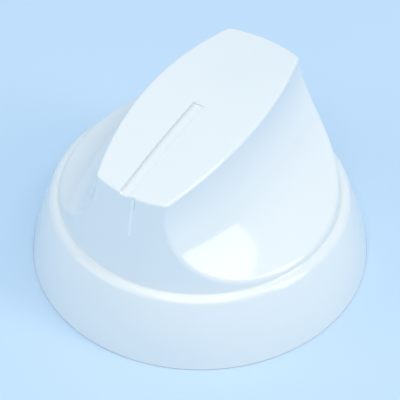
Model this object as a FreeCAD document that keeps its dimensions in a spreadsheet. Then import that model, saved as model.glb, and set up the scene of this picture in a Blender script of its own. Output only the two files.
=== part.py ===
import FreeCAD, Part
import math
import os
import Sketcher
from FreeCAD import Placement, Rotation, Vector

# Oven control knob: one hollow plastic moulding that pushes on to a flatted spindle, and the spring-steel band that
# makes its boss grip. The origin is on the knob's axis in the plane of its foot, +Z points out of the appliance's
# panel, and the pointer end of the grip is towards -Y.

doc = FreeCAD.newDocument("oven_knob")
sheet = doc.addObject("Spreadsheet::Sheet", "Sizes")

# Driving sizes, in millimetres and degrees.
driving_sizes = [
    ("base_diameter", 50.0, "skirt: diameter of the foot"),
    ("skirt_curve", 42.0, "skirt: radius of its slightly barrelled side"),
    ("rim_height", 11.0, "rim: height of the top of the lip"),
    ("rim_round", 1.1, "rim: radius of the lip"),
    ("rim_ledge", 0.1, "rim: width of the level ledge behind the lip"),
    ("rim_fillet", 0.4, "rim: radius of the hollow corner between ledge and drum"),
    ("rim_bite", 0.02, "rim: depth by which the hollow corner runs into the drum's wall"),
    ("drum_diameter", 37.1, "drum: diameter at the gauge height"),
    ("drum_gauge", 25.0, "drum: height at which its diameter is taken"),
    ("drum_draft", 9.1, "drum: angle of the wall from the axis"),
    ("crown_height", 28.2, "grip: highest point of the arched top"),
    ("crown_curve", 131.0, "grip: radius of the arched top"),
    ("crown_back", 7.7, "grip: distance of the highest point behind the axis"),
    ("crown_round", 0.45, "grip: rounding round the arched top"),
    ("grip_width", 17.8, "grip: width at the middle"),
    ("flank_curve", 53.8, "grip: radius of the flanks seen from above"),
    ("scoop_radius", 15.0, "scoop: radius of its section"),
    ("scoop_height", 27.1, "scoop: height of the centre of its section"),
    ("scoop_lean", 4.2, "scoop: angle by which it slopes down towards the pointer end"),
    ("scoop_round", 0.9, "scoop: rounding of its edge on the drum"),
    ("groove_left", 1.35, "pointer groove: distance of its left edge from the middle plane"),
    ("groove_step", 0.35, "pointer groove: width of its steep left side"),
    ("groove_floor", 0.9, "pointer groove: width of the floor"),
    ("groove_mouth", 2.05, "pointer groove: width at the arched top"),
    ("groove_depth", 0.3, "pointer groove: depth below the arched top"),
    ("groove_start", 0.4, "pointer groove: distance of its closed end behind the axis"),
    ("line_width", 0.7, "pointer line: width at its gauge height"),
    ("line_depth", 0.12, "pointer line: depth at its gauge height"),
    ("line_offset", 1.05, "pointer line: distance beside the middle plane"),
    ("line_gauge", 24.5, "pointer line: height at which its width and depth are taken"),
    ("line_foot", 18.2, "pointer line: height where it dies out"),
    ("wall", 2.0, "moulding: thickness of skirt, drum and scoops"),
    ("crown_wall", 2.4, "moulding: thickness under the arched top"),
    ("boss_diameter", 12.0, "boss: outside diameter"),
    ("boss_recess", 1.0, "boss: distance of its end behind the foot"),
    ("socket_diameter", 6.1, "socket: diameter round the flatted end of a 6 mm spindle"),
    ("socket_depth", 17.0, "socket: depth from the boss's end"),
    ("guide_diameter", 6.5, "socket: diameter of the round guide at its mouth"),
    ("guide_length", 6.0, "socket: length of the round guide"),
    ("flat_across", 4.7, "socket: from the flat to the wall opposite it"),
    ("lead_in", 0.5, "socket: chamfer at its mouth"),
    ("slit_width", 1.2, "boss: width of the slit"),
    ("slit_length", 9.0, "boss: length of the slit from its end"),
    ("seat_depth", 0.8, "boss: depth of the step that the spring band sits in"),
    ("seat_length", 6.2, "boss: length of that step from the boss's end"),
    ("band_thickness", 0.6, "spring band: thickness of the steel"),
    ("band_width", 5.0, "spring band: width of the strip"),
    ("band_gap", 2.4, "spring band: gap between its ends"),
    ("band_room", 0.6, "ribs: free space left outside the spring band"),
    ("rib_thickness", 1.4, "ribs: thickness"),
    ("rib_recess", 3.0, "ribs: distance of their lower edge behind the foot"),
    ("rib_angle", 45.0, "ribs: angle of the first pair from the X axis"),
]
for row, (alias, value, meaning) in enumerate(driving_sizes, start=1):
    sheet.set(f"A{row}", meaning)
    sheet.set(f"B{row}", str(value))
    sheet.setAlias(f"B{row}", alias)
doc.recompute()


def size(alias):
    """Present value of a driving size, used to start a sketch near its solution and to pick edges."""
    return float(sheet.get(alias))


def origin_feature(body, role):
    """The body's own origin plane or axis with this role."""
    return [feature for feature in body.Origin.OriginFeatures if feature.Role == role][0]


def new_sketch(body, name, role):
    """A sketch on one of the body's origin planes."""
    sketch = body.newObject("Sketcher::SketchObject", name)
    sketch.AttachmentSupport = [(origin_feature(body, role), "")]
    sketch.MapMode = "FlatFace"
    return sketch


def dimension(sketch, kind, where, name, value, formula):
    """A named dimension of a sketch, tied to the sheet by its formula."""
    index = sketch.addConstraint(Sketcher.Constraint(kind, *where, value))
    sketch.renameConstraint(index, name)
    sketch.setExpression(f"Constraints.{name}", formula)


def closed_lines(sketch, points):
    """Straight lines through the points and back to the first, joined end to end."""
    count = len(points)
    for index in range(count):
        start = Vector(*points[index], 0)
        end = Vector(*points[(index + 1) % count], 0)
        sketch.addGeometry(Part.LineSegment(start, end), False)
    for index in range(count):
        sketch.addConstraint(Sketcher.Constraint("Coincident", index, 2, (index + 1) % count, 1))


def bind(feature, **formulas):
    """Ties properties of a feature to the sheet; a double underscore stands for a dot."""
    for name, formula in formulas.items():
        feature.setExpression(name.replace("__", "."), formula)


# The drum's radius at a height, the radius where the ledge beside it begins, and the radius through the lip's middle.
drum_radius = "(Sizes.drum_diameter / 2 + (Sizes.drum_gauge - ({})) * tan(Sizes.drum_draft))"
ledge_radius = (f"({drum_radius.format('Sizes.rim_height')} + Sizes.rim_fillet * tan(45 - Sizes.drum_draft / 2)"
                " - Sizes.rim_bite)")
rim_radius = f"({ledge_radius} + Sizes.rim_ledge)"


def add_drum(body, prefix, inset, crown_inset, foot):
    """Conical drum with an arched top and a round scoop down each side, taken in by the inset formulas.

    The outside of the moulding and its hollow both come from here, so the hollow follows the outside.
    """
    top = "(Sizes.crown_height + Sizes.wall)"
    cone = body.newObject("PartDesign::AdditiveCone", prefix + "Drum")
    bind(cone, Radius1=drum_radius.format(foot) + f" - {inset} / cos(Sizes.drum_draft)",
         Radius2=drum_radius.format(top) + f" - {inset} / cos(Sizes.drum_draft)",
         Height=f"{top} - {foot}", Placement__Base__z=foot)
    doc.recompute()

    # The arch is a cylinder lying across the knob; what stands above it is cut away.
    arch = new_sketch(body, prefix + "ArchSide", "YZ_Plane")
    radius = size("crown_curve")
    reach = size("base_diameter") / 2
    centre = Vector(size("crown_back"), size("crown_height") - radius, 0)
    right = math.acos((reach - centre.x) / radius)
    left = math.acos((-reach - centre.x) / radius)
    arch.addGeometry(Part.ArcOfCircle(Part.Circle(centre, Vector(0, 0, 1), radius), right, left), False)
    ends = [Vector(reach, centre.y + radius * math.sin(right), 0), Vector(-reach, centre.y + radius * math.sin(left), 0)]
    roof = size("crown_height") + 2 * size("wall")
    arch.addGeometry(Part.LineSegment(ends[1], Vector(-reach, roof, 0)), False)
    arch.addGeometry(Part.LineSegment(Vector(-reach, roof, 0), Vector(reach, roof, 0)), False)
    arch.addGeometry(Part.LineSegment(Vector(reach, roof, 0), ends[0]), False)
    for first, first_end, second, second_end in ((0, 2, 1, 1), (1, 2, 2, 1), (2, 2, 3, 1), (3, 2, 0, 1)):
        arch.addConstraint(Sketcher.Constraint("Coincident", first, first_end, second, second_end))
    arch.addConstraint(Sketcher.Constraint("Vertical", 1))
    arch.addConstraint(Sketcher.Constraint("Horizontal", 2))
    arch.addConstraint(Sketcher.Constraint("Vertical", 3))
    dimension(arch, "Radius", (0,), "curve", radius, f"Sizes.crown_curve - {crown_inset}")
    dimension(arch, "DistanceX", (-1, 1, 0, 3), "back", centre.x, "Sizes.crown_back")
    dimension(arch, "DistanceY", (0, 3, -1, 1), "depth", -centre.y, "Sizes.crown_curve - Sizes.crown_height")
    dimension(arch, "DistanceX", (-1, 1, 3, 1), "rear", reach, "Sizes.base_diameter / 2")
    dimension(arch, "DistanceX", (1, 2, -1, 1), "front", reach, "Sizes.base_diameter / 2")
    dimension(arch, "DistanceY", (-1, 1, 2, 1), "roof", roof, "Sizes.crown_height + 2 * Sizes.wall")
    pocket = body.newObject("PartDesign::Pocket", prefix + "Arch")
    pocket.Profile = arch
    pocket.SideType = "Symmetric"
    bind(pocket, Length="Sizes.base_diameter")
    doc.recompute()

    # Each scoop is a round section carried about an axis on the far side of the knob, then mirrored.
    # The axis leans forward, so the scoop slopes down towards the pointer end.
    section = new_sketch(body, prefix + "ScoopSection", "XZ_Plane")
    section.AttachmentOffset = Placement(Vector(0, 0, 0), Rotation(Vector(1, 0, 0), 1))
    bind(section, AttachmentOffset__Rotation__Angle="Sizes.scoop_lean",
         AttachmentOffset__Base__y="Sizes.scoop_height * (1 - cos(Sizes.scoop_lean))",
         AttachmentOffset__Base__z="-Sizes.scoop_height * sin(Sizes.scoop_lean)")
    axis_x = size("grip_width") / 2 - size("flank_curve")
    scoop_x = size("grip_width") / 2 + size("scoop_radius")
    scoop_z = size("scoop_height")
    rise = math.asin((roof - scoop_z) / size("scoop_radius"))
    scoop_centre = Vector(scoop_x, scoop_z, 0)
    circle = Part.Circle(scoop_centre, Vector(0, 0, 1), size("scoop_radius"))
    section.addGeometry(Part.ArcOfCircle(circle, math.pi - rise, 1.5 * math.pi), False)
    lowest = Vector(scoop_x, scoop_z - size("scoop_radius"), 0)
    highest = Vector(scoop_x - size("scoop_radius") * math.cos(rise), roof, 0)
    section.addGeometry(Part.LineSegment(lowest, Vector(scoop_x, roof, 0)), False)
    section.addGeometry(Part.LineSegment(Vector(scoop_x, roof, 0), highest), False)
    section.addGeometry(Part.LineSegment(Vector(axis_x, 0, 0), Vector(axis_x, roof, 0)), True)
    for first, first_end, second, second_end in ((0, 2, 1, 1), (1, 2, 2, 1), (2, 2, 0, 1)):
        section.addConstraint(Sketcher.Constraint("Coincident", first, first_end, second, second_end))
    section.addConstraint(Sketcher.Constraint("Vertical", 1))
    section.addConstraint(Sketcher.Constraint("Horizontal", 2))
    section.addConstraint(Sketcher.Constraint("Vertical", 3))
    section.addConstraint(Sketcher.Constraint("Vertical", 0, 2, 0, 3))
    section.addConstraint(Sketcher.Constraint("PointOnObject", 3, 1, -1))
    section.addConstraint(Sketcher.Constraint("Horizontal", 3, 2, 2, 1))
    dimension(section, "Radius", (0,), "hollow", size("scoop_radius"), f"Sizes.scoop_radius + {inset}")
    dimension(section, "DistanceX", (-1, 1, 0, 3), "reach", scoop_x, "Sizes.grip_width / 2 + Sizes.scoop_radius")
    dimension(section, "DistanceY", (-1, 1, 0, 3), "level", scoop_z, "Sizes.scoop_height")
    dimension(section, "DistanceY", (-1, 1, 2, 1), "roof", roof, "Sizes.crown_height + 2 * Sizes.wall")
    dimension(section, "DistanceX", (3, 1, -1, 1), "axis", -axis_x, "Sizes.flank_curve - Sizes.grip_width / 2")
    scoop = body.newObject("PartDesign::Groove", prefix + "RightScoop")
    scoop.Profile = section
    scoop.ReferenceAxis = (section, ["Axis0"])
    scoop.Midplane = True
    scoop.Angle = 90
    doc.recompute()
    both = body.newObject("PartDesign::Mirrored", prefix + "Scoops")
    both.Originals = [scoop]
    both.MirrorPlane = (origin_feature(body, "YZ_Plane"), [""])
    body.Tip = both
    doc.recompute()


# Outside of the moulding: the drum with its arch and scoops comes first, and is rounded before the skirt joins it.
outside = doc.addObject("PartDesign::Body", "Outside")
add_drum(outside, "Outer", "0", "0", "(Sizes.rim_height / 2)")


# Edges are picked by the faces that meet there, so that the roundings follow any change of size.
def edges_between(shape, wanted):
    """Names of the edges whose two faces satisfy the test, given their surfaces."""
    names = []
    for index, edge in enumerate(shape.Edges, start=1):
        faces = shape.ancestorsOfType(edge, Part.Face)
        if len(faces) == 2 and wanted(faces[0].Surface, faces[1].Surface):
            names.append(f"Edge{index}")
    return names


def scoop_meets_drum(first, second):
    """True where a scoop runs out on the drum's cone."""
    kinds = {type(first).__name__, type(second).__name__}
    return kinds == {"Toroid", "Cone"} and max(abs(first.Center.x), abs(second.Center.x)) > 1


def round_edges(body, name, wanted, formula):
    """A fillet on the body's present shape, its radius tied to the sheet."""
    tip = body.Tip
    fillet = body.newObject("PartDesign::Fillet", name)
    fillet.Base = (tip, edges_between(tip.Shape, wanted))
    bind(fillet, Radius=formula)
    doc.recompute()


def is_arch(surface):
    """True for the arched top, a cylinder that lies across the knob."""
    return type(surface).__name__ == "Cylinder" and abs(surface.Axis.x) > 0.999


round_edges(outside, "ScoopEdge", scoop_meets_drum, "Sizes.scoop_round")
round_edges(outside, "CrownEdge", lambda first, second: is_arch(first) or is_arch(second), "Sizes.crown_round")

# Skirt: a barrelled side from the foot up into the rounded lip, a level ledge, and a hollow corner up to the drum.
skirt = new_sketch(outside, "SkirtSection", "XZ_Plane")
foot_point = Vector(size("base_diameter") / 2, 0, 0)
draft = math.radians(size("drum_draft"))
drum_foot = size("drum_diameter") / 2 + (size("drum_gauge") - size("rim_height")) * math.tan(draft)
ledge_start = drum_foot + size("rim_fillet") * math.tan(math.pi / 4 - draft / 2) - size("rim_bite")
corner_centre = Vector(ledge_start, size("rim_height") + size("rim_fillet"), 0)
lip_centre = Vector(ledge_start + size("rim_ledge"), size("rim_height") - size("rim_round"), 0)
between = lip_centre.sub(foot_point)
near = size("skirt_curve")
far = size("skirt_curve") - size("rim_round")
along = (near ** 2 - far ** 2 + between.Length ** 2) / (2 * between.Length)
across = math.sqrt(near ** 2 - along ** 2)
forward = Vector(between).normalize()
side_centre = foot_point.add(Vector(forward).multiply(along)).add(Vector(-forward.y, forward.x, 0).multiply(across))
low_angle = math.atan2(foot_point.y - side_centre.y, foot_point.x - side_centre.x)
high_angle = math.atan2(lip_centre.y - side_centre.y, lip_centre.x - side_centre.x)
lip_top = Vector(lip_centre.x, size("rim_height"), 0)
corner_foot = Vector(ledge_start, size("rim_height"), 0)
corner_top = corner_centre.sub(Vector(math.cos(draft), math.sin(draft), 0).multiply(size("rim_fillet")))
middle_top = Vector(0, corner_top.y, 0)
upward = Vector(0, 0, 1)
skirt.addGeometry(Part.ArcOfCircle(Part.Circle(side_centre, upward, near), low_angle, high_angle), False)
lip_circle = Part.Circle(lip_centre, upward, size("rim_round"))
skirt.addGeometry(Part.ArcOfCircle(lip_circle, high_angle, math.pi / 2), False)
skirt.addGeometry(Part.LineSegment(lip_top, corner_foot), False)
corner_circle = Part.Circle(corner_centre, upward, size("rim_fillet"))
skirt.addGeometry(Part.ArcOfCircle(corner_circle, math.pi + draft, 1.5 * math.pi), False)
skirt.addGeometry(Part.LineSegment(corner_top, middle_top), False)
skirt.addGeometry(Part.LineSegment(middle_top, Vector(0, 0, 0)), False)
skirt.addGeometry(Part.LineSegment(Vector(0, 0, 0), foot_point), False)
skirt.addConstraint(Sketcher.Constraint("Tangent", 0, 2, 1, 1))
skirt.addConstraint(Sketcher.Constraint("Tangent", 1, 2, 2, 1))
skirt.addConstraint(Sketcher.Constraint("Tangent", 2, 2, 3, 2))
for first, first_end, second, second_end in ((3, 1, 4, 1), (4, 2, 5, 1), (5, 2, 6, 1), (6, 2, 0, 1)):
    skirt.addConstraint(Sketcher.Constraint("Coincident", first, first_end, second, second_end))
skirt.addConstraint(Sketcher.Constraint("Coincident", 5, 2, -1, 1))
skirt.addConstraint(Sketcher.Constraint("Horizontal", 2))
skirt.addConstraint(Sketcher.Constraint("Horizontal", 4))
skirt.addConstraint(Sketcher.Constraint("Vertical", 5))
skirt.addConstraint(Sketcher.Constraint("Horizontal", 6))
dimension(skirt, "DistanceX", (-1, 1, 0, 1), "foot", foot_point.x, "Sizes.base_diameter / 2")
dimension(skirt, "Radius", (0,), "barrel", near, "Sizes.skirt_curve")
dimension(skirt, "Radius", (1,), "lip", size("rim_round"), "Sizes.rim_round")
dimension(skirt, "DistanceX", (-1, 1, 1, 3), "rim", lip_centre.x, rim_radius)
dimension(skirt, "DistanceY", (-1, 1, 1, 3), "lip_level", lip_centre.y, "Sizes.rim_height - Sizes.rim_round")
dimension(skirt, "Radius", (3,), "corner", size("rim_fillet"), "Sizes.rim_fillet")
dimension(skirt, "DistanceX", (-1, 1, 3, 3), "ledge", corner_centre.x, ledge_radius)
dimension(skirt, "DistanceY", (-1, 1, 3, 1), "corner_top", corner_top.y,
          "Sizes.rim_height + Sizes.rim_fillet * (1 - sin(Sizes.drum_draft))")
skirt_turning = outside.newObject("PartDesign::Revolution", "Skirt")
skirt_turning.Profile = skirt
skirt_turning.ReferenceAxis = (skirt, ["V_Axis"])
skirt_turning.Angle = 360
doc.recompute()

# Pointer groove: a shallow channel carried round the arch's own axis, from its closed end out through the front.
channel = new_sketch(outside, "GrooveSection", "XZ_Plane")
channel.AttachmentOffset = Placement(Vector(0, 0, 0), Rotation(Vector(1, 0, 0), 1))
bind(channel, AttachmentOffset__Base__y="Sizes.crown_height - Sizes.crown_curve",
     AttachmentOffset__Base__z="-Sizes.crown_back",
     AttachmentOffset__Rotation__Angle="asin((Sizes.crown_back - Sizes.groove_start) / Sizes.crown_curve)")
floor_level = size("crown_curve") - size("groove_depth")
mouth_level = size("crown_curve") + size("groove_depth")
floor_left = size("groove_left") - size("groove_step")
floor_right = size("groove_floor") - floor_left
mouth_left = size("groove_left") + size("groove_step")
mouth_right = 2 * (size("groove_mouth") - size("groove_left")) - floor_right
closed_lines(channel, [(-floor_left, floor_level), (floor_right, floor_level),
                       (mouth_right, mouth_level), (-mouth_left, mouth_level)])
channel.addConstraint(Sketcher.Constraint("Horizontal", 0))
channel.addConstraint(Sketcher.Constraint("Horizontal", 2))
dimension(channel, "DistanceY", (-1, 1, 0, 1), "floor", floor_level, "Sizes.crown_curve - Sizes.groove_depth")
dimension(channel, "DistanceY", (-1, 1, 2, 1), "mouth", mouth_level, "Sizes.crown_curve + Sizes.groove_depth")
dimension(channel, "DistanceX", (0, 1, -1, 1), "floor_left", floor_left, "Sizes.groove_left - Sizes.groove_step")
dimension(channel, "DistanceX", (0, 1, 0, 2), "floor_width", size("groove_floor"), "Sizes.groove_floor")
dimension(channel, "DistanceX", (2, 2, -1, 1), "mouth_left", mouth_left, "Sizes.groove_left + Sizes.groove_step")
dimension(channel, "DistanceX", (2, 2, 2, 1), "mouth_width", mouth_left + mouth_right,
          "2 * Sizes.groove_mouth - Sizes.groove_floor")
groove = outside.newObject("PartDesign::Groove", "PointerGroove")
groove.Profile = channel
groove.ReferenceAxis = (channel, ["H_Axis"])
bind(groove, Angle="asin((Sizes.crown_back + Sizes.base_diameter / 2) / Sizes.crown_curve)"
                   " - asin((Sizes.crown_back - Sizes.groove_start) / Sizes.crown_curve)")
doc.recompute()

# Pointer line: a fine round-bottomed line in the pointer end of the drum, dying out lower down. Its cutter is a
# cylinder that lies along the drum's wall, deepest at the top.
line_radius = "((Sizes.line_width ^ 2 / 4 + Sizes.line_depth ^ 2) / (2 * Sizes.line_depth))"
wall_out = f"sqrt({drum_radius} ^ 2 - Sizes.line_offset ^ 2)"
foot_out = f"({wall_out.format('Sizes.line_foot')} + {line_radius} * cos(Sizes.drum_draft))"
foot_level = f"(Sizes.line_foot + {line_radius} * sin(Sizes.drum_draft))"
gauge_out = f"({wall_out.format('Sizes.line_gauge')} + ({line_radius} - Sizes.line_depth) * cos(Sizes.drum_draft))"
gauge_level = f"(Sizes.line_gauge + ({line_radius} - Sizes.line_depth) * sin(Sizes.drum_draft))"
lean = f"atan(({foot_out} - {gauge_out}) / ({gauge_level} - {foot_level}))"
fine_line = outside.newObject("PartDesign::SubtractiveCylinder", "PointerLine")
fine_line.Placement = Placement(Vector(0, 0, 0), Rotation(Vector(-1, 0, 0), 1))
bind(fine_line, Radius=line_radius, Height="Sizes.crown_height", Placement__Rotation__Angle=lean,
     Placement__Base__x="Sizes.line_offset",
     Placement__Base__y=f"-{foot_out} - Sizes.line_width * sin({lean})",
     Placement__Base__z=f"{foot_level} - Sizes.line_width * cos({lean})")
doc.recompute()

# Room inside the moulding: the drum's form taken in by the wall, and the skirt's below it.
inside = doc.addObject("PartDesign::Body", "Inside")
add_drum(inside, "Inner", "Sizes.wall", "Sizes.crown_wall", "0")
skirt_room = inside.newObject("PartDesign::AdditiveCone", "SkirtRoom")
skirt_lean = f"(Sizes.base_diameter / 2 - {rim_radius} - Sizes.rim_round) / (Sizes.rim_height - Sizes.rim_round)"
bind(skirt_room, Radius1="Sizes.base_diameter / 2 - Sizes.wall", Height="Sizes.rim_height - Sizes.wall",
     Radius2=f"Sizes.base_diameter / 2 - Sizes.wall - (Sizes.rim_height - Sizes.wall) * {skirt_lean}")
doc.recompute()


def cylinder(name, radius, height, bottom):
    """An upright cylinder on the knob's axis."""
    piece = doc.addObject("Part::Cylinder", name)
    bind(piece, Radius=radius, Height=height, Placement__Base__z=bottom)
    return piece


def combine(kind, name, pieces):
    """A fuse of all the pieces, or a cut of the second from the first."""
    result = doc.addObject(kind, name)
    if kind == "Part::MultiFuse":
        result.Shapes = pieces
    else:
        result.Base, result.Tool = pieces
    return result


# Boss on the axis, and two crossed webs that make the four ribs. They stay solid where the room is cut out.
boss = cylinder("Boss", "Sizes.boss_diameter / 2", "Sizes.crown_height - Sizes.boss_recess", "Sizes.boss_recess")
webs = []
for name, turn in (("FirstWeb", "Sizes.rib_angle"), ("SecondWeb", "180 - Sizes.rib_angle")):
    web = doc.addObject("Part::Box", name)
    web.Placement = Placement(Vector(0, 0, 0), Rotation(Vector(0, 0, 1), 1))
    bind(web, Length="Sizes.base_diameter", Width="Sizes.rib_thickness", Height="Sizes.crown_height - Sizes.rib_recess",
         Placement__Rotation__Angle=turn, Placement__Base__z="Sizes.rib_recess",
         Placement__Base__x=f"-Sizes.base_diameter / 2 * cos({turn}) + Sizes.rib_thickness / 2 * sin({turn})",
         Placement__Base__y=f"-Sizes.base_diameter / 2 * sin({turn}) - Sizes.rib_thickness / 2 * cos({turn})")
    webs.append(web)
supports = combine("Part::MultiFuse", "Supports", [boss] + webs)
room = combine("Part::Cut", "Room", [inside, supports])

# Socket: a lead-in chamfer and a round guide at the mouth, then a closer bore with a flat on the pointer side.
boss_end = "Sizes.boss_recess"
flat_bore = cylinder("FlatBore", "Sizes.socket_diameter / 2", "Sizes.socket_depth", boss_end)
flat = doc.addObject("Part::Box", "Flat")
bind(flat, Length="Sizes.socket_diameter", Width="Sizes.socket_diameter", Height="Sizes.socket_depth",
     Placement__Base__x="-Sizes.socket_diameter / 2",
     Placement__Base__y="Sizes.socket_diameter / 2 - Sizes.flat_across - Sizes.socket_diameter",
     Placement__Base__z=f"{boss_end} + Sizes.guide_length")
socket_bore = combine("Part::Cut", "SocketBore", [flat_bore, flat])
guide = cylinder("SocketGuide", "Sizes.guide_diameter / 2", "Sizes.guide_length", boss_end)
mouth = doc.addObject("Part::Cone", "SocketMouth")
bind(mouth, Radius1="Sizes.guide_diameter / 2 + Sizes.lead_in", Radius2="Sizes.guide_diameter / 2",
     Height="Sizes.lead_in", Placement__Base__z=boss_end)
slit = doc.addObject("Part::Box", "Slit")
bind(slit, Length="Sizes.slit_width", Width="Sizes.boss_diameter", Height="Sizes.slit_length",
     Placement__Base__x="-Sizes.slit_width / 2", Placement__Base__z=boss_end)

# Step round the boss's end for the spring band, with free space outside the band where the ribs stop short.
seat_radius = "(Sizes.boss_diameter / 2 - Sizes.seat_depth)"
seat_outer = cylinder("SeatRoom", f"{seat_radius} + Sizes.band_thickness + Sizes.band_room",
                      "Sizes.boss_recess + Sizes.seat_length", "0")
seat_core = cylinder("SeatCore", seat_radius, "Sizes.boss_recess + Sizes.seat_length", "0")
seat = combine("Part::Cut", "BandSeat", [seat_outer, seat_core])

# The finished moulding.
hollows = combine("Part::MultiFuse", "Hollows", [room, socket_bore, guide, mouth, slit, seat])
knob = combine("Part::Cut", "Knob", [outside, hollows])
knob.Label = "knob"

# Spring band: a strip of spring steel rolled round the boss's step, up against its shoulder, open over the slit.
band_level = "Sizes.boss_recess + Sizes.seat_length - Sizes.band_width"
band_outer = cylinder("BandOuter", f"{seat_radius} + Sizes.band_thickness", "Sizes.band_width", band_level)
band_inner = cylinder("BandInner", seat_radius, "Sizes.band_width", band_level)
band_ring = combine("Part::Cut", "BandRing", [band_outer, band_inner])
band_opening = doc.addObject("Part::Box", "BandOpening")
bind(band_opening, Length="Sizes.band_gap", Width="Sizes.boss_diameter", Height="Sizes.band_width",
     Placement__Base__x="-Sizes.band_gap / 2", Placement__Base__z=band_level)
band = combine("Part::Cut", "SpringBand", [band_ring, band_opening])
band.Label = "spring_band"
doc.recompute()

# Every feature has to be sound, and each piece one valid solid, before anything is written.
for item in doc.Objects:
    if "Invalid" in item.State or "Error" in item.State:
        raise RuntimeError(f"{item.Name} failed: {item.State}")
os.makedirs("parts", exist_ok=True)
for piece in (knob, band):
    shape = piece.Shape
    if shape.isNull() or not shape.isValid() or len(shape.Solids) != 1:
        raise RuntimeError(f"{piece.Label} isn't one valid solid")
for piece in (knob, band):
    piece.Shape.exportStep(f"parts/{piece.Label}.step")
    box = piece.Shape.BoundBox
    print(piece.Label, "volume", round(piece.Shape.Volume, 1), "faces", len(piece.Shape.Faces),
          [round(v, 2) for v in (box.XMin, box.XMax, box.YMin, box.YMax, box.ZMin, box.ZMax)])
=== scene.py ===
import math
import bpy
import numpy as np
from mathutils import Matrix, Vector


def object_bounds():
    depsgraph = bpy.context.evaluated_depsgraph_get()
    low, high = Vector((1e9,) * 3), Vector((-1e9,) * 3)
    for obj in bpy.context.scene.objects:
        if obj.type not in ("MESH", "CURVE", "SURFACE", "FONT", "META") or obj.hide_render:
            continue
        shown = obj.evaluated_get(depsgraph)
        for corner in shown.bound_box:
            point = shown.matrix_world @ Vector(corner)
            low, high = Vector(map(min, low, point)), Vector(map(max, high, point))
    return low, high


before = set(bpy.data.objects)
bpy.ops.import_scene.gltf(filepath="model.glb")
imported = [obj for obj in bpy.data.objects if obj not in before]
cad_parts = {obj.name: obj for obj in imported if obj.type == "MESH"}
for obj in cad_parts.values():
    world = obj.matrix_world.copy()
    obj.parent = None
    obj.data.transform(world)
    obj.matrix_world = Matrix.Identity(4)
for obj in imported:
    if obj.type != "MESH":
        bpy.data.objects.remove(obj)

cad_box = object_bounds()

# Knob
# One hollow injection moulding in white heat-resistant plastic, with the gloss of a polished mould.
# It pushes on to the spindle of the oven's control, and the spring band inside makes its boss grip.


def maths(nodes, links, kind, operation, *terms):
    """The result of a new maths node of this kind. A term is a socket to link, or a value to set."""
    node = nodes.new(kind)
    node.operation = operation
    for socket, term in zip(node.inputs, terms):
        if isinstance(term, bpy.types.NodeSocket):
            links.new(term, socket)
        else:
            socket.default_value = term
    return node.outputs[0]


def surface_drift():
    """Slow and fine unevenness of a finished surface, as masks from 0 to 1.

    Patches is low-frequency noise, for the tone. Grain is high-frequency noise, for the texture that a mould
    or a roll leaves. Both read object coordinates, stretched along each axis. The noise's distance from one
    half is multiplied by the contrast.
    """
    group = bpy.data.node_groups.new("surface_drift", "ShaderNodeTree")
    for name in ("Patch Scale", "Grain Scale", "Contrast"):
        group.interface.new_socket(name, in_out="INPUT", socket_type="NodeSocketFloat")
    group.interface.new_socket("Stretch", in_out="INPUT", socket_type="NodeSocketVector")
    for name in ("Patches", "Grain"):
        group.interface.new_socket(name, in_out="OUTPUT", socket_type="NodeSocketFloat")
    nodes, links = group.nodes, group.links
    entry = nodes.new("NodeGroupInput").outputs
    leave = nodes.new("NodeGroupOutput").inputs
    place = nodes.new("ShaderNodeTexCoord").outputs["Object"]
    stretched = maths(nodes, links, "ShaderNodeVectorMath", "MULTIPLY", place, entry["Stretch"])
    for scale, detail, output in (("Patch Scale", 3.0, "Patches"), ("Grain Scale", 2.0, "Grain")):
        noise = nodes.new("ShaderNodeTexNoise")
        noise.inputs["Detail"].default_value = detail
        links.new(stretched, noise.inputs["Vector"])
        links.new(entry[scale], noise.inputs["Scale"])
        centred = maths(nodes, links, "ShaderNodeMath", "SUBTRACT", noise.outputs["Fac"], 0.5)
        spread = maths(nodes, links, "ShaderNodeMath", "MULTIPLY_ADD", centred, entry["Contrast"], 0.5)
        spread.node.use_clamp = True
        links.new(spread, leave[output])
    return group


drift = surface_drift()


def finish_material(name, patch_scale, grain_scale, contrast, stretch=(1.0, 1.0, 1.0)):
    """A new material with the surface drift in it.

    Gives the material, its nodes and links, its shader's inputs and the drift's outputs.
    """
    material = bpy.data.materials.new(name)
    material.use_nodes = True
    nodes, links = material.node_tree.nodes, material.node_tree.links
    uneven = nodes.new("ShaderNodeGroup")
    uneven.node_tree = drift
    uneven.inputs["Patch Scale"].default_value = patch_scale
    uneven.inputs["Grain Scale"].default_value = grain_scale
    uneven.inputs["Contrast"].default_value = contrast
    uneven.inputs["Stretch"].default_value = stretch
    return material, nodes, links, nodes["Principled BSDF"].inputs, uneven.outputs


def between(nodes, links, mask, low, high):
    """A value that goes from low to high as the mask goes from 0 to 1."""
    remap = nodes.new("ShaderNodeMapRange")
    remap.inputs["To Min"].default_value = low
    remap.inputs["To Max"].default_value = high
    links.new(mask, remap.inputs["Value"])
    return remap.outputs["Result"]


def blend(nodes, links, kind, mask, low, high):
    """A colour or vector that goes from low to high as the mask goes from 0 to 1.

    Each end is a socket to link, or a value to set.
    """
    mix = nodes.new("ShaderNodeMix")
    mix.data_type = kind
    links.new(mask, mix.inputs["Factor"])
    for name, end in (("A", low), ("B", high)):
        if isinstance(end, bpy.types.NodeSocket):
            links.new(end, mix.inputs[name])
        else:
            mix.inputs[name].default_value = end
    return mix.outputs["Result"]


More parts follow.
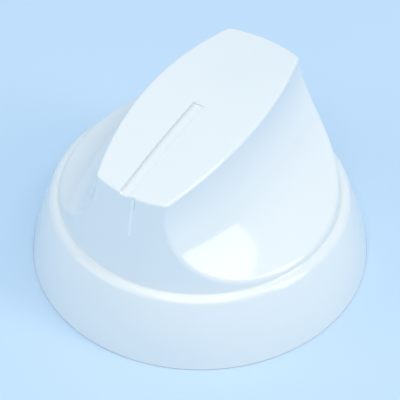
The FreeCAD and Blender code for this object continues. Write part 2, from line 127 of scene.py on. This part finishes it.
def strip_mask():
    """A strip of the surface, as a mask from 0 to 1: the part inside a box of object coordinates.

    The distance inside the box is the least of the distances from Low and to High along the three axes. The
    mask is that distance divided by Fade, plus 1, kept between 0 and 1.
    """
    group = bpy.data.node_groups.new("strip_mask", "ShaderNodeTree")
    for name in ("Low", "High"):
        group.interface.new_socket(name, in_out="INPUT", socket_type="NodeSocketVector")
    group.interface.new_socket("Fade", in_out="INPUT", socket_type="NodeSocketFloat")
    group.interface.new_socket("Mask", in_out="OUTPUT", socket_type="NodeSocketFloat")
    nodes, links = group.nodes, group.links
    entry = nodes.new("NodeGroupInput").outputs
    place = nodes.new("ShaderNodeTexCoord").outputs["Object"]
    from_low = maths(nodes, links, "ShaderNodeVectorMath", "SUBTRACT", place, entry["Low"])
    to_high = maths(nodes, links, "ShaderNodeVectorMath", "SUBTRACT", entry["High"], place)
    nearest = maths(nodes, links, "ShaderNodeVectorMath", "MINIMUM", from_low, to_high)
    axes = nodes.new("ShaderNodeSeparateXYZ")
    links.new(nearest, axes.inputs[0])
    inside = axes.outputs["X"]
    for axis in ("Y", "Z"):
        inside = maths(nodes, links, "ShaderNodeMath", "MINIMUM", inside, axes.outputs[axis])
    share = maths(nodes, links, "ShaderNodeMath", "DIVIDE", inside, entry["Fade"])
    mask = maths(nodes, links, "ShaderNodeMath", "ADD", share, 1.0)
    mask.node.use_clamp = True
    links.new(mask, nodes.new("NodeGroupOutput").inputs["Mask"])
    return group


strip = strip_mask()


def place_strip(nodes, low, high, fade):
    """The mask of the strip between two corners."""
    placed = nodes.new("ShaderNodeGroup")
    placed.node_tree = strip
    placed.inputs["Low"].default_value = low
    placed.inputs["High"].default_value = high
    placed.inputs["Fade"].default_value = fade
    return placed.outputs["Mask"]


def leaned_normal(nodes, links, normal, mask, lean):
    """A normal that leans towards +X by this angle where the mask is 1.

    Its X part is set to nothing, the rest is brought to length 1, the tangent of the angle is added along X,
    and the sum is brought to length 1.
    """
    level = maths(nodes, links, "ShaderNodeVectorMath", "MULTIPLY", normal, (0.0, 1.0, 1.0))
    unit = maths(nodes, links, "ShaderNodeVectorMath", "NORMALIZE", level)
    leaned = maths(nodes, links, "ShaderNodeVectorMath", "ADD", unit, (math.tan(lean), 0.0, 0.0))
    leaned_unit = maths(nodes, links, "ShaderNodeVectorMath", "NORMALIZE", leaned)
    return blend(nodes, links, "VECTOR", mask, normal, leaned_unit)


# The plastic's white drifts a little from patch to patch, and its polish is a little uneven.
white_plastic, nodes, links, shader, uneven = finish_material("white_plastic", 70.0, 1400.0, 1.4)
duller_white = (0.83, 0.855, 0.875, 1.0)
fresher_white = (0.86, 0.88, 0.895, 1.0)
tone = blend(nodes, links, "RGBA", uneven["Patches"], duller_white, fresher_white)

# The pointer groove as built: its left edge, the widths of its left side, its floor and its right slope, its
# two ends and a height below all of it. The end behind stops short of the groove's end wall.
mm = 0.001
groove_left = -1.35 * mm
side_width = 0.35 * mm
floor_width = 0.9 * mm
slope_width = 0.8 * mm
groove_front = -18.2 * mm
groove_back = 0.38 * mm
groove_low = 24.5 * mm
crown_top = cad_box[1][2]

# The groove's right slope gets a strip of brighter white, a painted highlight, for more light than the built
# groove gives it. The fine line below the groove gets a painted highlight on its floor and a painted shade
# along its right edge, which make it stronger.
painted_highlight_white = (0.94, 0.95, 0.955, 1.0)
painted_shade_white = (0.57, 0.59, 0.61, 1.0)
slope_left = groove_left + side_width + floor_width
slope_inset = 0.05 * mm
slope_low = (slope_left + slope_inset, groove_front, groove_low)
slope_high = (slope_left + slope_width - slope_inset, 0.0, crown_top)
line_front = -20.0 * mm
line_back = -14.0 * mm
line_top = 25.0 * mm
line_floor_low = (0.76 * mm, line_front, 19.0 * mm)
line_floor_high = (0.96 * mm, line_back, line_top)
line_edge_low = (1.24 * mm, line_front, 23.6 * mm)
line_edge_high = (1.25 * mm, line_back, line_top)
# The strips of painted highlight and painted shade, with their corners, fades and whites.
painted_light_strips = (
    (slope_low, slope_high, 0.15 * mm, painted_highlight_white),
    (line_floor_low, line_floor_high, 0.12 * mm, painted_highlight_white),
    (line_edge_low, line_edge_high, 0.09 * mm, painted_shade_white),
)
# Each strip blends its painted highlight or painted shade into the plastic's base colour.
for low, high, fade, painted_white in painted_light_strips:
    tone = blend(nodes, links, "RGBA", place_strip(nodes, low, high, fade), tone, painted_white)
links.new(tone, shader["Base Color"])
links.new(between(nodes, links, uneven["Grain"], 0.06, 0.10), shader["Roughness"])
shader["IOR"].default_value = 1.5

# The groove's left side is narrower and steeper in the photograph than as built. The normal makes up for it:
# it is steep over the upper half of the built side, and level as the floor over the lower half.
side_lean = math.radians(80.0)
side_fade = 0.01 * mm
side_middle = groove_left + side_width / 2
side_right = groove_left + side_width
normal = nodes.new("ShaderNodeTexCoord").outputs["Normal"]
for left, right, lean in ((groove_left, side_middle, side_lean), (side_middle, side_right, 0.0)):
    low = (left, groove_front, groove_low)
    high = (right, groove_back, crown_top)
    normal = leaned_normal(nodes, links, normal, place_strip(nodes, low, high, side_fade), lean)
outward = nodes.new("ShaderNodeVectorTransform")
outward.vector_type = "NORMAL"
outward.convert_from = "OBJECT"
outward.convert_to = "WORLD"
links.new(normal, outward.inputs[0])


def fine_bump(nodes, links, height, strength, shader):
    """A bump of small depth on the shader's normal, raised where the height mask is 1."""
    bump = nodes.new("ShaderNodeBump")
    bump.inputs["Strength"].default_value = strength
    bump.inputs["Distance"].default_value = 0.05 * mm
    links.new(height, bump.inputs["Height"])
    links.new(bump.outputs["Normal"], shader["Normal"])
    return bump


polish = fine_bump(nodes, links, uneven["Grain"], 0.02, shader)
links.new(outward.outputs[0], polish.inputs["Normal"])
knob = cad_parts["knob"]
knob.data.materials.clear()
knob.data.materials.append(white_plastic)

# Spring band
# A strip of rolled spring steel, bent to an open ring and sprung over the step of the boss, against its
# shoulder. Its grain runs round the ring, and the bending leaves it a little darker in patches.
round_the_ring = (1.0, 1.0, 9.0)
spring_steel, nodes, links, shader, uneven = finish_material(
    "spring_steel", 160.0, 700.0, 1.6, stretch=round_the_ring)
dark_steel = (0.42, 0.43, 0.45, 1.0)
light_steel = (0.58, 0.59, 0.61, 1.0)
steel = blend(nodes, links, "RGBA", uneven["Patches"], dark_steel, light_steel)
links.new(steel, shader["Base Color"])
shader["Metallic"].default_value = 1.0
links.new(between(nodes, links, uneven["Grain"], 0.24, 0.42), shader["Roughness"])
fine_bump(nodes, links, uneven["Grain"], 0.12, shader)
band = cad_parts["spring_band"]
band.data.materials.clear()
band.data.materials.append(spring_steel)

# Floor
# A plain pale sheet under the knob, which stands on its foot. The sheet isn't part of the knob.
# It lies a hair below the foot, so that the two faces don't share a plane.
reach = 1.6
corners = reach * np.array([(-1, -1), (1, -1), (1, 1), (-1, 1)], dtype=float)
level = cad_box[0][2] - 0.1 * mm
sheet_points = np.column_stack([corners, np.full(4, level)])
sheet_mesh = bpy.data.meshes.new("floor")
sheet_mesh.from_pydata(sheet_points.tolist(), [], [(0, 1, 2, 3)])
floor = bpy.data.objects.new("floor", sheet_mesh)
bpy.context.scene.collection.objects.link(floor)
paper, nodes, links, shader, uneven = finish_material("pale_paper", 9.0, 400.0, 0.6)
deeper_blue = (0.56, 0.72, 0.90, 1.0)
paler_blue = (0.58, 0.74, 0.92, 1.0)
links.new(blend(nodes, links, "RGBA", uneven["Patches"], deeper_blue, paler_blue), shader["Base Color"])
shader["Roughness"].default_value = 0.9
sheet_mesh.materials.append(paper)

# Light
# A soft box at the knob's right, whose lower and rear edges show in the right scoop, two overhead that draw
# the highlight along the lip, weaker ones in front and at the left, and an even cool light from all round.
lamp_tint = (1.00, 0.87, 0.67)
lamp_distance = 0.7


def soft_box(name, azimuth, elevation, width, height, power, aside=0.0, raised=0.0, roll=0.0):
    """A rectangular lamp that faces the origin from this direction, given in degrees from +X and from level.

    It stands at the lamp distance, is then moved aside and upwards in its own plane, and is rolled there.
    """
    round_angle = math.radians(azimuth)
    up_angle = math.radians(elevation)
    level_direction = Vector((math.cos(round_angle), math.sin(round_angle), 0.0))
    direction = math.cos(up_angle) * level_direction + math.sin(up_angle) * Vector((0.0, 0.0, 1.0))
    turned = direction.to_track_quat("Z", "Y").to_matrix().to_4x4()
    moved = Matrix.Translation((aside, raised, lamp_distance))
    lamp = bpy.data.lights.new(name, "AREA")
    lamp.shape = "RECTANGLE"
    lamp.size = width
    lamp.size_y = height
    lamp.energy = power
    lamp.color = lamp_tint
    lamp_object = bpy.data.objects.new(name, lamp)
    lamp_object.matrix_world = turned @ moved @ Matrix.Rotation(math.radians(roll), 4, "Z")
    bpy.context.scene.collection.objects.link(lamp_object)


soft_box("right_soft_box", -30, 43, 0.336, 0.819, 3.00, aside=0.463, raised=0.042, roll=25.9)
soft_box("camera_soft_box", -57, 68, 0.420, 0.462, 1.58, raised=-0.021)
soft_box("front_soft_box", -84, 40, 0.602, 0.602, 0.33)
soft_box("left_soft_box", 228, 28, 0.420, 0.420, 0.85)
soft_box("top_soft_box", 90, 85, 0.420, 0.420, 0.93)
sky_blue = (0.32, 0.65, 1.00, 1.0)
sky_strength = 0.595
sky = bpy.data.worlds.new("studio")
sky.use_nodes = True
background = sky.node_tree.nodes["Background"].inputs
background["Color"].default_value = sky_blue
background["Strength"].default_value = sky_strength
bpy.context.scene.world = sky
bpy.context.scene.view_settings.view_transform = "Standard"

# Camera
# It looks down on the pointer end of the grip from its right, as in the photograph.
turn = math.radians(33.05)
tilt = math.radians(44.59)
camera_distance = 0.35
target = Vector((0.0, 0.0, 9.4 * mm))
backward = Vector((math.sin(turn) * math.cos(tilt), -math.cos(turn) * math.cos(tilt), math.sin(tilt)))
sideways = Vector((math.cos(turn), math.sin(turn), 0.0))
upward = backward.cross(sideways)
lens = bpy.data.cameras.new("camera")
lens.sensor_width = 36.0
lens.lens = 213.4
camera = bpy.data.objects.new("camera", lens)
camera_axes = Matrix((sideways, upward, backward)).transposed().to_4x4()
camera.matrix_world = Matrix.Translation(target + camera_distance * backward) @ camera_axes
bpy.context.scene.collection.objects.link(camera)
bpy.context.scene.camera = camera
